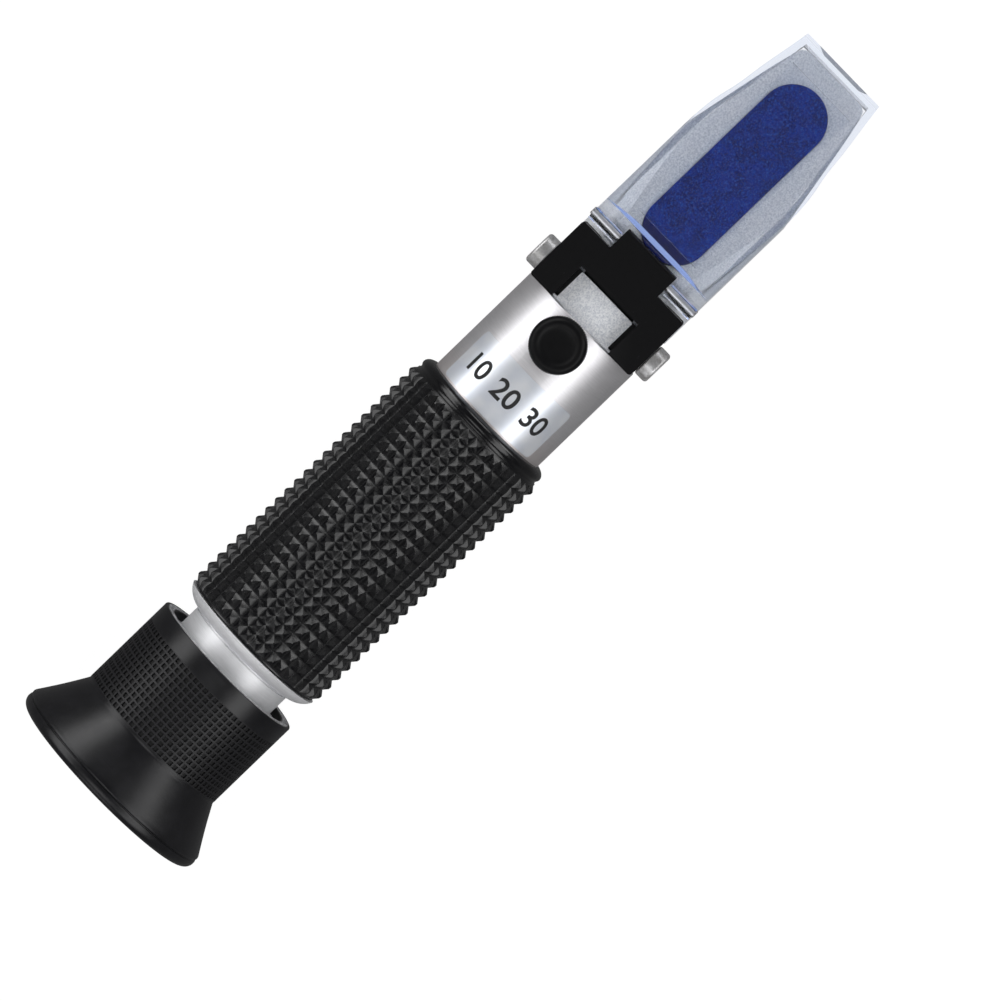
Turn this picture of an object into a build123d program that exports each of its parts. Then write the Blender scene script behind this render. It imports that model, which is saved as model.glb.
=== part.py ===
from build123d import *
import os
from math import sin, cos, tan, radians, sqrt

os.makedirs("parts", exist_ok=True)

# Hand-held salinity / sugar refractometer with a flip-up daylight plate.
# Frame: X runs along the optical axis from the eyecup (-X) to the prism tip
# (+X), +Z points out of the side that carries the daylight plate, and the
# origin lies on the optical axis at mid-length.

# ---------------------------------------------------------------- dimensions
HALF_LENGTH = 85.95        # half of the overall length
TUBE_R = 12.0              # outer radius of the body tube
TUBE_BORE = 10.40
TUBE_X0, TUBE_X1 = -51.15, 25.70

# eyecup
CUP_LIP_R = 1.45           # radius of the rounded rim
CUP_OUT_R = 19.70
CUP_CYL_R = 14.75
CUP_SOCKET_R = 12.65
CUP_BORE_R = 10.50         # viewing hole, takes an adapter plug
CUP_BORE_X0, CUP_BORE_X1 = -77.0, -71.0
CUP_FRONT_X = -57.0

# focusing eyepiece
BARREL_R = 12.60
BARREL_X0, BARREL_X1 = -70.98, -58.30
NECK_R = 10.60
BARREL_BORE = 10.66
NECK_X0 = -64.5
NECK_BORE = 8.50
COLLAR_X = -53.45          # where the neck meets the domed shoulder
COLLAR_FACE_X = -51.20
COLLAR_R = 14.20
SPIGOT_R = 10.35
SPIGOT_X1 = -43.0

# rubber grip
GRIP_R = 14.60
GRIP_ROOT_R = 13.85
GRIP_X0, GRIP_X1 = -51.10, 3.35
GRIP_RIB_X0, GRIP_RIB_PITCH, GRIP_RIBS = -50.95, 2.255, 23

# label
LABEL_X0, LABEL_X1 = 3.70, 13.90
LABEL_HALF_ANGLE = 55.0
LABEL_T = 0.10

# calibration group
CAL_X = 20.80
BUSH_R, BUSH_BORE = 2.70, 1.98
BUSH_Z0, BUSH_Z1 = 8.90, 12.75
CAL_SCREW_R = 1.90
CAP_R, CAP_TOP_Z = 4.92, 14.60
STRIP_Z0, STRIP_Z1 = 7.30, 7.90
STRIP_HALF_W = 3.0

# prism head
HEAD_X0 = 23.70
HEAD_FACE_X = 25.72
HEAD_TIP_X = 83.75
HEAD_TIP_R = 7.55
HEAD_TAPER_X = 60.40
HEAD_FLAT_Z = 10.40
HEAD_BORE = 5.0
SEAT_ANGLE = 12.2          # slope of the measuring face, down towards +X
SEAT_X, SEAT_Z = 41.70, 9.75
POCKET_FLOOR_Z = -4.50
PRISM_R = 5.83
PRISM_U0, PRISM_U1 = 6.24, 33.15   # arc centres along the slope
PRISM_PROUD = 0.35

# hinge block, its screws and its pin
BLOCK_X0, BLOCK_X1 = 25.75, 38.20
BLOCK_HALF_W = 11.85
BLOCK_TOP_Z = 12.80
BLOCK_WALL_Y = 9.94        # inner face of the side walls
WINDOW_X1, WINDOW_HALF_W = 32.70, 6.70
TONGUE_X1, TONGUE_HALF_W = 42.60, 5.65
SIDE_SCREW_X, SIDE_SCREW_Z = 29.10, 0.0
SIDE_SCREW_HEAD_R, SIDE_SCREW_HEAD_H = 3.12, 2.50
PIN_X, PIN_Z, PIN_R = 40.50, 11.25, 0.75
PIN_HALF_L = 12.15

# daylight plate, in the frame of the seat plane: u along the slope, h above it
PLATE_H0, PLATE_H1 = 1.00, 2.70
PLATE_PAD_H = 0.50
PLATE_SKIRT_H = -2.70
PLATE_WALL = 1.25
PLATE_EAR_Y0, PLATE_EAR_Y1 = 5.95, 11.83
PLATE_EAR_R = 1.42
PLATE_PAD_U0, PLATE_PAD_U1, PLATE_PAD_HALF_W = 4.0, 39.7, 6.75

ca, sa = cos(radians(SEAT_ANGLE)), sin(radians(SEAT_ANGLE))
PLATE_U1 = (HALF_LENGTH - SEAT_X - PLATE_H1 * sa) / ca
# half-width of the plate along the slope
PLATE_WIDTHS = [(13.0, 11.83), (23.4, 11.68), (26.9, 11.25), (28.7, 10.85),
                (31.2, 10.40), (35.4, 9.90), (38.8, 9.35), (43.0, 8.70)]

seat_plane = Plane(origin=(SEAT_X, 0, SEAT_Z), x_dir=(ca, 0, -sa), z_dir=(sa, 0, ca))


def on_seat(u, h):
    """World X and Z of a point of the seat-plane frame."""
    return (SEAT_X + u * ca + h * sa, SEAT_Z - u * sa + h * ca)


def lens_points(xc, half_edge, half_mid, r):
    """Section of a biconvex lens about the X axis."""
    sag = half_mid - half_edge
    rad = (r * r + sag * sag) / (2 * sag)
    m = rad - sqrt(rad * rad - r * r / 4)
    return [(xc - half_mid, 0), (xc - half_mid + m, r / 2), (xc - half_edge, r),
            (xc + half_edge, r), (xc + half_mid - m, r / 2), (xc + half_mid, 0)]


# ---------------------------------------------------------------- eyepiece end
with BuildPart() as eyecup:
    lip_x = -HALF_LENGTH + CUP_LIP_R
    lip_c = CUP_OUT_R - CUP_LIP_R
    with BuildSketch(Plane.XZ):
        with BuildLine():
            ThreePointArc((lip_x, lip_c - CUP_LIP_R), (-HALF_LENGTH, lip_c), (lip_x, CUP_OUT_R))
            Polyline((lip_x, CUP_OUT_R), (-83.25, 19.62), (-74.95, 14.66), (-74.3, CUP_CYL_R),
                     (-58.0, CUP_CYL_R))
            ThreePointArc((-58.0, CUP_CYL_R), (-57.3, 14.45), (CUP_FRONT_X, 13.75))
            Polyline((CUP_FRONT_X, 13.75), (CUP_FRONT_X, CUP_SOCKET_R + 0.2),
                     (CUP_FRONT_X - 0.2, CUP_SOCKET_R), (CUP_BORE_X1, CUP_SOCKET_R),
                     (CUP_BORE_X1, CUP_BORE_R), (CUP_BORE_X0, CUP_BORE_R),
                     (CUP_BORE_X0, 12.3), (-77.9, 13.1), (-83.3, 16.45),
                     (lip_x, lip_c - CUP_LIP_R))
        make_face()
    revolve(axis=Axis.X)
eyecup.part.label = "eyecup"
export_step(eyecup.part, "parts/eyecup.step")

with BuildPart() as focus_barrel:
    with BuildSketch(Plane.XZ):
        with BuildLine():
            Polyline((BARREL_X0, 9.02), (BARREL_X0, BARREL_R), (BARREL_X1 - 0.3, BARREL_R),
                     (BARREL_X1, BARREL_R - 0.3), (BARREL_X1, BARREL_BORE + 0.3),
                     (BARREL_X1 - 0.3, BARREL_BORE), (-59.80, BARREL_BORE), (-59.80, 11.60),
                     (-61.00, 11.60), (-61.00, BARREL_BORE), (-68.00, BARREL_BORE),
                     (-68.00, 9.02), close=True)
        make_face()
    revolve(axis=Axis.X)
focus_barrel.part.label = "focus_barrel"
export_step(focus_barrel.part, "parts/focus_barrel.step")

with BuildPart() as lens_holder:
    with BuildSketch(Plane.XZ):
        with BuildLine():
            Polyline((-71.00, 7.50), (-71.00, 8.98), (-67.60, 8.98), (-67.60, 8.00),
                     (-60.00, 8.00), (-60.00, 6.60), (-61.20, 6.60), (-61.20, 7.50), close=True)
        make_face()
    revolve(axis=Axis.X)
lens_holder.part.label = "lens_holder"
export_step(lens_holder.part, "parts/lens_holder.step")

with BuildPart() as eye_lens_ring:
    with BuildSketch(Plane.XZ):
        with BuildLine():
            Polyline((-70.95, 6.90), (-70.95, 7.46), (-69.75, 7.46), (-69.75, 6.50),
                     (-70.35, 6.50), close=True)
        make_face()
    revolve(axis=Axis.X)
    # two spanner slots across the rear face
    with Locations((-70.95, 7.0, 0), (-70.95, -7.0, 0)):
        Box(1.0, 1.3, 1.2, mode=Mode.SUBTRACT)
eye_lens_ring.part.label = "eye_lens_ring"
export_step(eye_lens_ring.part, "parts/eye_lens_ring.step")

p = lens_points(-68.15, 0.95, 1.95, 7.46)
with BuildPart() as eye_lens:
    with BuildSketch(Plane.XZ):
        with BuildLine():
            ThreePointArc(p[0], p[1], p[2])
            Line(p[2], p[3])
            ThreePointArc(p[3], p[4], p[5])
            Line(p[5], p[0])
        make_face()
    revolve(axis=Axis.X)
eye_lens.part.label = "eye_lens"
export_step(eye_lens.part, "parts/eye_lens.step")

with BuildPart() as lens_spacer:
    with BuildSketch(Plane.XZ):
        with BuildLine():
            Polyline((-66.98, 6.85), (-66.98, 7.46), (-64.34, 7.46), (-64.34, 6.85), close=True)
        make_face()
    revolve(axis=Axis.X)
lens_spacer.part.label = "lens_spacer"
export_step(lens_spacer.part, "parts/lens_spacer.step")

q = lens_points(-62.80, 1.33, 2.20, 7.46)
with BuildPart() as field_lens:
    with BuildSketch(Plane.XZ):
        with BuildLine():
            ThreePointArc(q[0], q[1], q[2])
            Line(q[2], q[3])
            ThreePointArc(q[3], q[4], q[5])
            Line(q[5], q[0])
        make_face()
    revolve(axis=Axis.X)
field_lens.part.label = "field_lens"
export_step(field_lens.part, "parts/field_lens.step")

with BuildPart() as focus_o_ring:
    with BuildSketch(Plane.XZ):
        with Locations((-60.40, 11.10)):
            Circle(0.45)
    revolve(axis=Axis.X)
focus_o_ring.part.label = "focus_o_ring"
export_step(focus_o_ring.part, "parts/focus_o_ring.step")

# ---------------------------------------------------------------- body
with BuildPart() as rear_collar:
    with BuildSketch(Plane.XZ):
        with BuildLine():
            Polyline((NECK_X0, NECK_BORE), (NECK_X0, NECK_R - 0.3), (NECK_X0 + 0.3, NECK_R),
                     (COLLAR_X - 0.4, NECK_R), (COLLAR_X - 0.4, NECK_R - 0.35),
                     (COLLAR_X, NECK_R - 0.35), (COLLAR_X, NECK_R + 0.15))
            ThreePointArc((COLLAR_X, NECK_R + 0.15), (-52.72, 12.92), (COLLAR_FACE_X, COLLAR_R))
            Polyline((COLLAR_FACE_X, COLLAR_R), (COLLAR_FACE_X, SPIGOT_R), (SPIGOT_X1, SPIGOT_R),
                     (SPIGOT_X1, 9.30), (-50.30, 9.30), (-50.30, NECK_BORE), (NECK_X0, NECK_BORE))
        make_face()
    revolve(axis=Axis.X)
rear_collar.part.label = "rear_collar"
export_step(rear_collar.part, "parts/rear_collar.step")

with BuildPart() as reticle:
    with BuildSketch(Plane.YZ.offset(-50.27)):
        Circle(9.25)
    extrude(amount=1.50)
reticle.part.label = "reticle"
export_step(reticle.part, "parts/reticle.step")

with BuildPart() as reticle_ring:
    with BuildSketch(Plane.YZ.offset(-48.74)):
        Circle(9.25)
        Circle(7.90, mode=Mode.SUBTRACT)
    extrude(amount=2.20)
    with Locations((-46.54, 8.6, 0), (-46.54, -8.6, 0)):
        Box(1.4, 2.0, 1.2, mode=Mode.SUBTRACT)
reticle_ring.part.label = "reticle_ring"
export_step(reticle_ring.part, "parts/reticle_ring.step")

with BuildPart() as main_tube:
    with BuildSketch(Plane.XZ):
        with BuildLine():
            Polyline((TUBE_X0, TUBE_BORE), (TUBE_X0, TUBE_R - 0.2), (TUBE_X0 + 0.2, TUBE_R),
                     (TUBE_X1 - 0.2, TUBE_R), (TUBE_X1, TUBE_R - 0.2), (TUBE_X1, TUBE_BORE),
                     close=True)
        make_face()
    revolve(axis=Axis.X)
    # threaded hole for the calibration bushing
    with BuildSketch(Plane.XY.offset(6.0)):
        with Locations((CAL_X, 0)):
            Circle(BUSH_R + 0.02)
    extrude(amount=10, mode=Mode.SUBTRACT)
    # two countersunk holes for the strip bracket
    with BuildSketch(Plane.XY.offset(6.0)):
        with Locations((-4.6, 0), (-1.4, 0)):
            Circle(0.95)
    extrude(amount=10, mode=Mode.SUBTRACT)
    with BuildSketch(Plane.XY.offset(11.15)):
        with Locations((-4.6, 0), (-1.4, 0)):
            Circle(1.45)
    extrude(amount=2, mode=Mode.SUBTRACT)
main_tube.part.label = "main_tube"
export_step(main_tube.part, "parts/main_tube.step")

with BuildPart() as rubber_grip:
    rib = [(GRIP_X0, TUBE_R + 0.02), (GRIP_X0, GRIP_ROOT_R)]
    for i in range(GRIP_RIBS):
        x = GRIP_RIB_X0 + i * GRIP_RIB_PITCH
        rib += [(x + 0.10, GRIP_ROOT_R), (x + 0.62, GRIP_R), (x + 1.58, GRIP_R),
                (x + 2.10, GRIP_ROOT_R)]
    rib += [(1.45, GRIP_ROOT_R - 0.15), (1.75, 13.80), (2.45, 13.70), (3.05, 13.25),
            (GRIP_X1, 12.55), (GRIP_X1, TUBE_R + 0.02)]
    with BuildSketch(Plane.XZ):
        with BuildLine():
            Polyline(*rib, close=True)
        make_face()
    revolve(axis=Axis.X)
rubber_grip.part.label = "rubber_grip"
export_step(rubber_grip.part, "parts/rubber_grip.step")

with BuildPart() as scale_label:
    r0, r1 = TUBE_R + 0.01, TUBE_R + 0.01 + LABEL_T
    a0, a1 = 90 - LABEL_HALF_ANGLE, 90 + LABEL_HALF_ANGLE
    with BuildSketch(Plane.YZ.offset(LABEL_X0)):
        with BuildLine():
            CenterArc((0, 0), r0, a0, a1 - a0)
            CenterArc((0, 0), r1, a0, a1 - a0)
            Line((r0 * cos(radians(a0)), r0 * sin(radians(a0))),
                 (r1 * cos(radians(a0)), r1 * sin(radians(a0))))
            Line((r0 * cos(radians(a1)), r0 * sin(radians(a1))),
                 (r1 * cos(radians(a1)), r1 * sin(radians(a1))))
        make_face()
    extrude(amount=LABEL_X1 - LABEL_X0)
scale_label.part.label = "scale_label"
export_step(scale_label.part, "parts/scale_label.step")

with BuildPart() as light_baffle:
    with BuildSketch(Plane.XZ):
        with BuildLine():
            Polyline((-22.0, 9.60), (-22.0, 10.37), (-17.0, 10.37), (-17.0, 5.50),
                     (-17.8, 5.50), (-18.4, 9.60), close=True)
        make_face()
    revolve(axis=Axis.X)
light_baffle.part.label = "light_baffle"
export_step(light_baffle.part, "parts/light_baffle.step")

# ---------------------------------------------------------------- calibration
with BuildPart() as strip_bracket:
    with BuildSketch(Plane.YZ.offset(-6.5)):
        Circle(TUBE_BORE - 0.02)
        with Locations((0, 8.35)):
            Rectangle(9.0, 4.2, mode=Mode.INTERSECT)
        with Locations((0, 7.60)):
            Rectangle(7.0, 1.90, mode=Mode.SUBTRACT)
    extrude(amount=7.0)
    with BuildSketch(Plane.XY.offset(8.0)):
        with Locations((-4.6, 0), (-1.4, 0)):
            Circle(0.95)
    extrude(amount=4, mode=Mode.SUBTRACT)
strip_bracket.part.label = "strip_bracket"
export_step(strip_bracket.part, "parts/strip_bracket.step")

with BuildPart() as bracket_screws:
    with BuildSketch(Plane.XY.offset(8.75)):
        with Locations((-4.6, 0), (-1.4, 0)):
            Circle(0.92)
    extrude(amount=2.6)
    with BuildSketch(Plane.XY.offset(11.17)):
        with Locations((-4.6, 0), (-1.4, 0)):
            Circle(1.40)
    extrude(amount=0.60)
    with Locations((-4.6, 0, 11.75), (-1.4, 0, 11.75)):
        Box(0.35, 3.0, 0.5, mode=Mode.SUBTRACT)
bracket_screws.part.label = "bracket_screws"
export_step(bracket_screws.part, "parts/bracket_screws.step")

with BuildPart() as bimetal_strip:
    with BuildSketch(Plane.XY.offset(STRIP_Z0)):
        with Locations((8.25, 0)):
            RectangleRounded(27.9, 2 * STRIP_HALF_W, 1.0)
        with Locations((15.2, 0), (17.6, 0)):
            Circle(0.52, mode=Mode.SUBTRACT)
    extrude(amount=STRIP_Z1 - STRIP_Z0)
bimetal_strip.part.label = "bimetal_strip"
export_step(bimetal_strip.part, "parts/bimetal_strip.step")

with BuildPart() as lens_cell:
    with BuildSketch(Plane.YZ.offset(13.8)):
        Circle(7.10)
        with Locations((0, 6.64)):
            Rectangle(6.4, 1.28)
    extrude(amount=5.0)
    with BuildSketch(Plane.YZ.offset(13.8)):
        Circle(4.40)
    extrude(amount=5.0, mode=Mode.SUBTRACT)
    with BuildSketch(Plane.YZ.offset(14.4)):
        Circle(5.25)
    extrude(amount=5.0, mode=Mode.SUBTRACT)
    with BuildSketch(Plane.XY.offset(6.15)):
        with Locations((15.2, 0), (17.6, 0)):
            Circle(0.52)
    extrude(amount=2.0, mode=Mode.SUBTRACT)
lens_cell.part.label = "lens_cell"
export_step(lens_cell.part, "parts/lens_cell.step")

with BuildPart() as cell_rivets:
    with BuildSketch(Plane.XY.offset(6.20)):
        with Locations((15.2, 0), (17.6, 0)):
            Circle(0.50)
    extrude(amount=2.0)
    with BuildSketch(Plane.XY.offset(STRIP_Z1 + 0.01)):
        with Locations((15.2, 0), (17.6, 0)):
            Circle(0.95)
    extrude(amount=0.40)
cell_rivets.part.label = "cell_rivets"
export_step(cell_rivets.part, "parts/cell_rivets.step")

o = lens_points(15.92, 1.25, 1.95, 5.22)
with BuildPart() as objective_lens:
    with BuildSketch(Plane.XZ):
        with BuildLine():
            ThreePointArc(o[0], o[1], o[2])
            Line(o[2], o[3])
            ThreePointArc(o[3], o[4], o[5])
            Line(o[5], o[0])
        make_face()
    revolve(axis=Axis.X)
objective_lens.part.label = "objective_lens"
export_step(objective_lens.part, "parts/objective_lens.step")

with BuildPart() as objective_ring:
    with BuildSketch(Plane.YZ.offset(17.42)):
        Circle(5.22)
        Circle(4.45, mode=Mode.SUBTRACT)
    extrude(amount=1.20)
    with Locations((18.62, 4.8, 0), (18.62, -4.8, 0)):
        Box(0.9, 1.2, 0.8, mode=Mode.SUBTRACT)
objective_ring.part.label = "objective_ring"
export_step(objective_ring.part, "parts/objective_ring.step")

with BuildPart() as calibration_bushing:
    with BuildSketch(Plane.XY.offset(BUSH_Z0)):
        with Locations((CAL_X, 0)):
            Circle(BUSH_R)
            Circle(BUSH_BORE, mode=Mode.SUBTRACT)
    extrude(amount=BUSH_Z1 - BUSH_Z0)
    chamfer(calibration_bushing.edges().group_by(Axis.Z)[-1], length=0.25)
calibration_bushing.part.label = "calibration_bushing"
export_step(calibration_bushing.part, "parts/calibration_bushing.step")

with BuildPart() as calibration_screw:
    with BuildSketch(Plane.XY.offset(9.05)):
        with Locations((CAL_X, 0)):
            Circle(CAL_SCREW_R)
    extrude(amount=3.15)
    chamfer(calibration_screw.edges().group_by(Axis.Z)[-1], length=0.25)
    with BuildSketch(Plane.XY.offset(STRIP_Z1 + 0.02)):
        with Locations((CAL_X, 0)):
            Circle(1.0)
    extrude(amount=1.5)
    with Locations((CAL_X, 0, 12.0)):
        Box(6.0, 0.70, 1.5, mode=Mode.SUBTRACT)
calibration_screw.part.label = "calibration_screw"
export_step(calibration_screw.part, "parts/calibration_screw.step")

with BuildPart() as calibration_cap:
    with BuildSketch(Plane.YZ.offset(CAL_X)):
        with BuildLine():
            Polyline((0, CAP_TOP_Z), (0, 13.10), (BUSH_R + 0.08, 13.10), (BUSH_R + 0.08, 10.20),
                     (CAP_R, 10.20), (CAP_R, 12.55))
            ThreePointArc((CAP_R, 12.55), (4.25, 13.55), (2.9, 14.18))
            ThreePointArc((2.9, 14.18), (1.9, 14.46), (0.9, CAP_TOP_Z))
            Line((0.9, CAP_TOP_Z), (0, CAP_TOP_Z))
        make_face()
    revolve(axis=Axis((CAL_X, 0, 0), (0, 0, 1)))
    # the underside is hollowed to the tube
    with BuildSketch(Plane.YZ.offset(CAL_X - 8)):
        Circle(TUBE_R + 0.10)
    extrude(amount=16, mode=Mode.SUBTRACT)
calibration_cap.part.label = "calibration_cap"
export_step(calibration_cap.part, "parts/calibration_cap.step")

# ---------------------------------------------------------------- prism head
def plan_face(inset, u0, u1):
    """Plan outline of the plate drawn inwards by inset, between u0 and u1 on the slope."""
    pts = [(u, w - inset) for u, w in PLATE_WIDTHS if u < u1 - 0.3]
    w_end = PLATE_WIDTHS[-1][1] - inset - 0.142 * (u1 - PLATE_WIDTHS[-1][0])
    pts = pts + [(u1, w_end)]
    with BuildSketch() as plan:
        with BuildLine():
            Line((u0, -pts[0][1]), (u0, pts[0][1]))
            Line((u0, pts[0][1]), pts[0])
            Spline(*pts, tangents=[(1, 0), (1, -0.142)])
            Line(pts[-1], (u1, -w_end))
            Spline(*[(u, -w) for u, w in pts], tangents=[(1, 0), (1, 0.142)])
            Line((u0, -pts[0][1]), (pts[0][0], -pts[0][1]))
        make_face()
    return plan.sketch


def wall_face(gap):
    """Side view of the hinge block's walls, grown by gap, for the block and its recess."""
    x0, x1 = BLOCK_X0 - gap, 2 * SIDE_SCREW_X - BLOCK_X0 + gap
    with BuildSketch() as wall:
        with BuildLine():
            ThreePointArc((x0, 0), (SIDE_SCREW_X, BLOCK_X0 - SIDE_SCREW_X - gap), (x1, 0))
            Polyline((x1, 0), (33.2 + gap, 2.2 - gap), (BLOCK_X1 + gap, 7.4 - gap),
                     (BLOCK_X1 + gap, BLOCK_TOP_Z), (x0, BLOCK_TOP_Z), (x0, 0))
        make_face()
    return wall.sketch


# obround pocket below the measuring face, down to a level floor
with BuildPart() as pocket_cut:
    with BuildSketch(seat_plane.offset(2.0)):
        with Locations(((PRISM_U0 + PRISM_U1) / 2, 0)):
            SlotCenterToCenter(PRISM_U1 - PRISM_U0, 2 * (PRISM_R + 0.05))
    extrude(amount=-24)
    split(bisect_by=Plane.XY.offset(POCKET_FLOOR_Z), keep=Keep.TOP)

with BuildPart() as prism_seat:
    with BuildSketch(Plane.XZ):
        with BuildLine():
            Polyline((HEAD_X0, 8.90), (HEAD_X0, SPIGOT_R - 0.2), (HEAD_X0 + 0.2, SPIGOT_R),
                     (24.20, SPIGOT_R), (24.20, 9.74), (25.20, 9.74), (25.20, SPIGOT_R),
                     (HEAD_FACE_X, SPIGOT_R), (HEAD_FACE_X, 11.50), (HEAD_FACE_X + 0.5, 12.0),
                     (31.86, TUBE_R), (32.06, 11.80), (32.06, 10.90), (32.90, 10.90),
                     (32.90, TUBE_R), (HEAD_TAPER_X, TUBE_R), (82.0, HEAD_TIP_R + 0.33))
            ThreePointArc((82.0, HEAD_TIP_R + 0.33), (83.22, 7.15), (HEAD_TIP_X, 6.0))
            Polyline((HEAD_TIP_X, 6.0), (HEAD_TIP_X, 0), (46.0, 0), (46.0, HEAD_BORE),
                     (27.5, HEAD_BORE), (25.6, 8.60), (HEAD_X0, 8.90))
        make_face()
    revolve(axis=Axis.X)
    # flat under the hinge block
    with BuildSketch(Plane.XZ.offset(-20)):
        with BuildLine():
            Polyline((25.0, HEAD_FLAT_Z), (38.6, HEAD_FLAT_Z), (38.6, 9.20), (44.24, 9.20),
                     on_seat(50, 0), (95, 14), (25.0, 14), close=True)
        make_face()
    extrude(amount=40, mode=Mode.SUBTRACT)
    # shoulder that the skirts of the daylight plate hang down to
    with BuildSketch(seat_plane.offset(PLATE_SKIRT_H - 0.15)):
        with Locations((25.6, 0)):
            Rectangle(50, 40)
        add(plan_face(PLATE_WALL + 0.18, -2.0, PLATE_U1 - PLATE_WALL - 0.20), mode=Mode.SUBTRACT)
    extrude(amount=12, mode=Mode.SUBTRACT)
    # recess for the prism
    add(pocket_cut.part, mode=Mode.SUBTRACT)
    # relief groove that frames the flat inside the window of the hinge block
    with Locations((32.36, 0, 10.20)):
        Box(0.60, 13.30, 1.60, mode=Mode.SUBTRACT)
    with Locations((29.46, 6.30, 10.20), (29.46, -6.30, 10.20)):
        Box(6.40, 0.70, 1.60, mode=Mode.SUBTRACT)
    # side recesses for the walls of the hinge block
    with BuildSketch(Plane.XZ.offset(BLOCK_WALL_Y - 0.04)):
        add(wall_face(0.06))
    extrude(amount=10, mode=Mode.SUBTRACT)
    with BuildSketch(Plane.XZ.offset(-(BLOCK_WALL_Y - 0.04))):
        add(wall_face(0.06))
    extrude(amount=-10, mode=Mode.SUBTRACT)
    # threaded holes for the side screws
    with BuildSketch(Plane.XZ.offset(6.3)):
        with Locations((SIDE_SCREW_X, SIDE_SCREW_Z)):
            Circle(1.50)
    extrude(amount=8, mode=Mode.SUBTRACT)
    with BuildSketch(Plane.XZ.offset(-6.3)):
        with Locations((SIDE_SCREW_X, SIDE_SCREW_Z)):
            Circle(1.50)
    extrude(amount=-8, mode=Mode.SUBTRACT)
prism_seat.part.label = "prism_seat"
export_step(prism_seat.part, "parts/prism_seat.step")

with BuildPart() as head_seal_ring:
    with BuildSketch(Plane.XZ):
        with Locations((24.70, 10.06)):
            Circle(0.30)
    revolve(axis=Axis.X)
head_seal_ring.part.label = "head_seal_ring"
export_step(head_seal_ring.part, "parts/head_seal_ring.step")

with BuildPart() as prism:
    with BuildSketch(seat_plane.offset(PRISM_PROUD)):
        with Locations(((PRISM_U0 + PRISM_U1) / 2, 0)):
            SlotCenterToCenter(PRISM_U1 - PRISM_U0, 2 * PRISM_R)
    extrude(amount=-22)
    split(bisect_by=Plane.XY.offset(POCKET_FLOOR_Z + 0.05), keep=Keep.TOP)
prism.part.label = "prism"
export_step(prism.part, "parts/prism.step")

# ---------------------------------------------------------------- hinge
# shape of the head inside the block: round, with side flats and a top flat
with BuildPart() as block_core:
    with BuildSketch(Plane.YZ.offset(BLOCK_X0 - 5)):
        Circle(TUBE_R + 0.06)
        with Locations((0, (HEAD_FLAT_Z + 0.02 - 20) / 2)):
            Rectangle(2 * BLOCK_WALL_Y, HEAD_FLAT_Z + 0.02 + 20, mode=Mode.INTERSECT)
    extrude(amount=25)

with BuildPart() as hinge_block:
    with BuildSketch(Plane.XZ.offset(-BLOCK_HALF_W)):
        add(wall_face(0.0))
    extrude(amount=2 * BLOCK_HALF_W)
    with BuildSketch(Plane.XY.offset(-10)):
        with Locations(((BLOCK_X0 + BLOCK_X1) / 2, 0)):
            RectangleRounded(BLOCK_X1 - BLOCK_X0, 2 * BLOCK_HALF_W, 0.60)
    extrude(amount=30, mode=Mode.INTERSECT)
    add(block_core.part, mode=Mode.SUBTRACT)
    # window between the two arms
    with BuildSketch(Plane.XY.offset(8.0)):
        with Locations(((BLOCK_X0 - 5 + WINDOW_X1) / 2, 0)):
            Rectangle(WINDOW_X1 - BLOCK_X0 + 5, 2 * WINDOW_HALF_W)
    extrude(amount=10, mode=Mode.SUBTRACT)
    # tongue between the hinge ears
    with BuildSketch(Plane.XY.offset(9.30)):
        with Locations(((BLOCK_X1 - 1.0 + TONGUE_X1) / 2, 0)):
            Rectangle(TONGUE_X1 - BLOCK_X1 + 1.0, 2 * TONGUE_HALF_W)
    extrude(amount=BLOCK_TOP_Z - 9.30)
    # the part of the tongue's root that the head's flat needs
    with Locations(((BLOCK_X1 - 1.0 + 38.6) / 2 - 0.1, 0, 9.80)):
        Box(38.7 - BLOCK_X1 + 1.0 + 0.2, 30, 1.24, mode=Mode.SUBTRACT)
    fillet(hinge_block.edges().filter_by(Axis.Y).filter_by(
        lambda e: e.center().X > 42.5 and e.center().Z > 12), radius=0.60)
    # step that clears the rear end of the prism
    with Locations((TONGUE_X1, 0, 9.75)):
        Box(1.5, 14, 1.0, mode=Mode.SUBTRACT)
    # hole for the pin
    with BuildSketch(Plane.XZ.offset(-20)):
        with Locations((PIN_X, PIN_Z)):
            Circle(PIN_R + 0.01)
    extrude(amount=40, mode=Mode.SUBTRACT)
    # clearance holes for the side screws
    with BuildSketch(Plane.XZ.offset(-20)):
        with Locations((SIDE_SCREW_X, SIDE_SCREW_Z)):
            Circle(1.60)
    extrude(amount=40, mode=Mode.SUBTRACT)
hinge_block.part.label = "hinge_block"
export_step(hinge_block.part, "parts/hinge_block.step")

with BuildPart() as hinge_pin:
    with BuildSketch(Plane.XZ.offset(-PIN_HALF_L)):
        with Locations((PIN_X, PIN_Z)):
            Circle(PIN_R)
    extrude(amount=2 * PIN_HALF_L)
    chamfer(hinge_pin.edges(), length=0.15)
hinge_pin.part.label = "hinge_pin"
export_step(hinge_pin.part, "parts/hinge_pin.step")

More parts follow.
